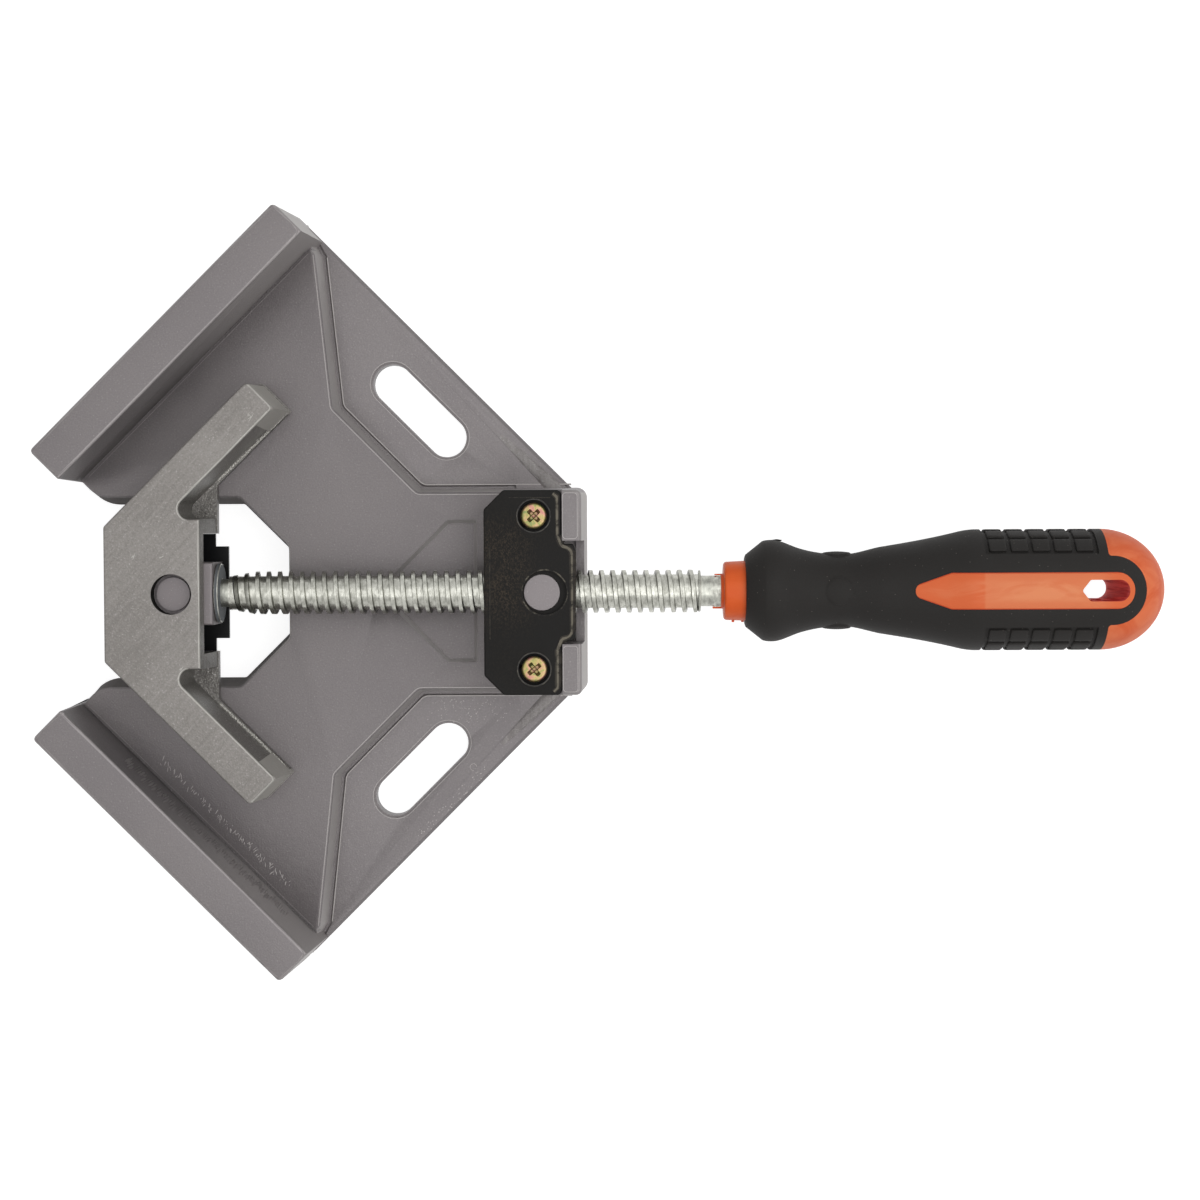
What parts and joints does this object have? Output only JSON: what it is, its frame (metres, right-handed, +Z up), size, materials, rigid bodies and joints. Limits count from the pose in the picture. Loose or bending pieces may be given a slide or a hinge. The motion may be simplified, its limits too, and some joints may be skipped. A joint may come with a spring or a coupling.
{
  "type": "corner clamp",
  "caption": "Right-angle corner clamp: a screw drives a swivelling V jaw towards two fences set at ninety degrees on a slotted base.",
  "frame": {"origin": "on the bench plane, under the vertical pivot of the spindle's nut", "axes": "+X along the spindle from the fences' corner towards the handle, +Z up from the bench, the two fences are mirror images across XZ"},
  "size_m": [0.3038, 0.2104, 0.0415],
  "materials": {
    "base_metal": "painted satin, cast",
    "jaw_metal": "sand cast, bare",
    "cover_plastic": "moulded, worn",
    "screw_zinc": "yellow zinc",
    "nut_steel": "machined",
    "spindle_zinc": "bright zinc, rolled",
    "keeper_steel": "gloss black",
    "grip_black": "soft matt",
    "core_orange": "moulded satin"
  },
  "bodies": {
    "base": {"base_casting": "base_metal", "nut_cover": "cover_plastic", "cover_screw_1": "screw_zinc", "cover_screw_2": "screw_zinc"},
    "nut": {"nut_block": "nut_steel"},
    "head": {"head_block": "nut_steel"},
    "spindle": {"spindle_screw": "spindle_zinc", "thrust_washer": "spindle_zinc", "retaining_ring": "nut_steel", "handle_core": "core_orange", "handle_grip": "grip_black"},
    "jaw": {"jaw_casting": "jaw_metal", "keeper_plate": "keeper_steel", "keeper_screw_1": "screw_zinc", "keeper_screw_2": "screw_zinc"}
  },
  "joints": [
    {"name": "nut_swivel", "type": "hinge", "parent": "base", "child": "nut", "pos_m": [0, 0, 0], "axis": [0, 0, 1], "range_deg": [-3, 3]},
    {"name": "jaw_feed", "type": "slide", "parent": "nut", "child": "head", "axis": [-1, 0, 0], "range_m": [-0.063, 0.0165]},
    {"name": "spindle_turn", "type": "hinge", "parent": "head", "child": "spindle", "pos_m": [-0.0984, 0, 0.0252], "axis": [-1, 0, 0], "range_deg": [-7560, 1980]},
    {"name": "jaw_swivel", "type": "hinge", "parent": "head", "child": "jaw", "pos_m": [-0.0984, 0, 0], "axis": [0, 0, 1], "range_deg": [-3, 3]}
  ],
  "couplings": [
    {"joint": "spindle_turn", "follows": "jaw_feed", "rad_per_m": 2094.4}
  ]
}
